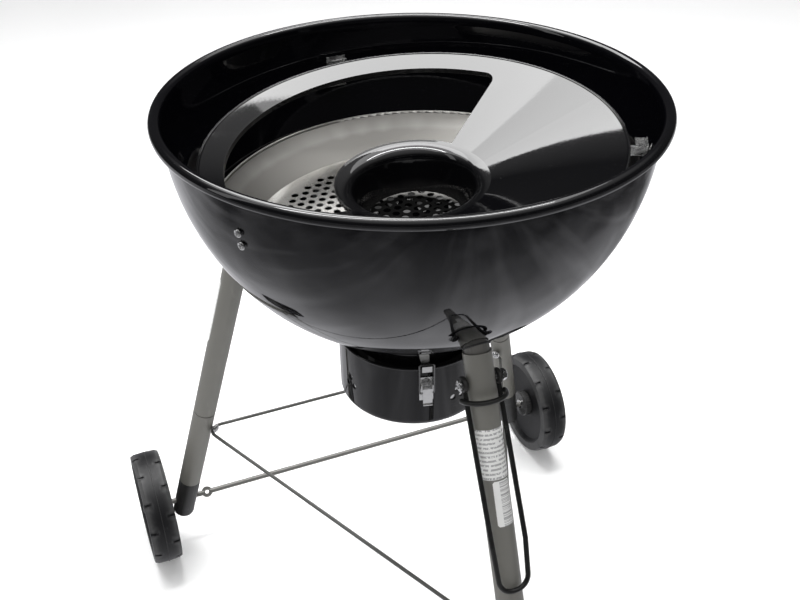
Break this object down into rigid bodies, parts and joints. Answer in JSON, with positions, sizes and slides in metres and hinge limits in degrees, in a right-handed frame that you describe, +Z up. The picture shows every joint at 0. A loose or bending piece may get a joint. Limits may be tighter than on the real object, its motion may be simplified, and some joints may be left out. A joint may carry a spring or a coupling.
{
  "type": "kettle charcoal grill",
  "caption": "Open kettle charcoal grill on tube legs and wheels, with a funnel insert, charcoal pan, latched ash bucket, wire brace and hanger.",
  "frame": {"origin": "middle of the footprint at floor level; the kettle's upright axis is 34.9 mm towards +Y of it", "axes": "+Z up, +Y towards the wheels, -Y towards the single leg, X along the axle"},
  "size_m": [0.713, 0.7698, 0.823],
  "materials": {
    "enamel": "gloss black enamel",
    "pan_steel": "spun stainless, satin",
    "zinc": "bright zinc plate",
    "latch_steel": "bright plated steel",
    "leg_paint": "grey-green powder coat, satin",
    "brace_paint": "dark grey powder coat",
    "black_paint": "black powder coat",
    "cap_plastic": "moulded black",
    "wheel_plastic": "moulded black, fine grain",
    "hub_plastic": "gloss black"
  },
  "bodies": {
    "kettle_and_stand": {"bowl": "enamel", "collar": "enamel", "ash_bucket": "enamel", "bracket_screws": "zinc", "bracket_nuts": "zinc", "pan_pegs": "zinc", "grate_bracket_left": "zinc", "grate_bracket_right": "zinc", "grate_bracket_rear": "zinc", "damper_studs": "zinc", "leg_bolts": "zinc", "brace_washers": "zinc", "brace_screws": "zinc", "axle_washers": "zinc", "hanger_bolt": "zinc", "hanger_nut": "zinc", "latch_pins": "zinc", "latch_rivets": "zinc", "latch_keepers": "latch_steel", "latch_bases": "latch_steel", "front_leg_upper": "leg_paint", "left_rear_leg_upper": "leg_paint", "right_rear_leg_upper": "leg_paint", "front_leg_lower": "leg_paint", "left_rear_leg_lower": "leg_paint", "right_rear_leg_lower": "leg_paint", "front_leg_socket": "black_paint", "left_rear_leg_socket": "black_paint", "right_rear_leg_socket": "black_paint", "front_leg_cap": "cap_plastic", "left_rear_leg_cap": "cap_plastic", "right_rear_leg_cap": "cap_plastic", "axle_caps": "cap_plastic", "leg_brace": "brace_paint", "axle": "brace_paint"},
    "charcoal_pan": {"charcoal_pan": "pan_steel", "pan_plate": "pan_steel"},
    "funnel": {"funnel": "enamel"},
    "damper": {"damper_ring": "zinc"},
    "front_latch_lever": {"latch_lever_front": "latch_steel"},
    "front_latch_bail": {"latch_bail_front": "latch_steel"},
    "rear_latch_lever": {"latch_lever_rear": "latch_steel"},
    "rear_latch_bail": {"latch_bail_rear": "latch_steel"},
    "left_wheel": {"left_wheel": "wheel_plastic", "left_wheel_hub": "hub_plastic"},
    "right_wheel": {"right_wheel": "wheel_plastic", "right_wheel_hub": "hub_plastic"},
    "hanger": {"hanger": "black_paint"}
  },
  "joints": [
    {"name": "pan_lift", "type": "slide", "parent": "kettle_and_stand", "child": "charcoal_pan", "axis": [0, 0, 1], "range_m": [0, 0.3]},
    {"name": "funnel_lift", "type": "slide", "parent": "charcoal_pan", "child": "funnel", "axis": [0, 0, 1], "range_m": [0, 0.3]},
    {"name": "damper_turn", "type": "hinge", "parent": "kettle_and_stand", "child": "damper", "pos_m": [0, 0.03194, 0.46], "axis": [0, 0, 1], "range_deg": [0, 14]},
    {"name": "hanger_swing", "type": "hinge", "parent": "kettle_and_stand", "child": "hanger", "pos_m": [0, -0.15984, 0.565], "axis": [-1, 0, 0], "range_deg": [0, 75]},
    {"name": "left_wheel_spin", "type": "hinge", "parent": "kettle_and_stand", "child": "left_wheel", "pos_m": [-0.3355, 0.29635, 0.0885], "axis": [1, 0, 0], "continuous": true},
    {"name": "right_wheel_spin", "type": "hinge", "parent": "kettle_and_stand", "child": "right_wheel", "pos_m": [0.3355, 0.29635, 0.0885], "axis": [1, 0, 0], "continuous": true},
    {"name": "front_latch_open", "type": "hinge", "parent": "kettle_and_stand", "child": "front_latch_lever", "pos_m": [-0.0237, -0.06676, 0.4945], "axis": [-0.9724, 0.2334, 0], "range_deg": [0, 120]},
    {"name": "front_bail_swing", "type": "hinge", "parent": "front_latch_lever", "child": "front_latch_bail", "pos_m": [-0.02351, -0.06598, 0.4855], "axis": [-0.9724, 0.2334, 0], "range_deg": [-120, 0]},
    {"name": "rear_latch_open", "type": "hinge", "parent": "kettle_and_stand", "child": "rear_latch_lever", "pos_m": [0.0237, 0.13063, 0.4945], "axis": [0.9724, -0.2334, 0], "range_deg": [0, 120]},
    {"name": "rear_bail_swing", "type": "hinge", "parent": "rear_latch_lever", "child": "rear_latch_bail", "pos_m": [0.02351, 0.12985, 0.4855], "axis": [0.9724, -0.2334, 0], "range_deg": [-120, 0]}
  ],
  "couplings": [
    {"joint": "front_bail_swing", "follows": "front_latch_open", "ratio": -1},
    {"joint": "rear_bail_swing", "follows": "rear_latch_open", "ratio": -1}
  ]
}
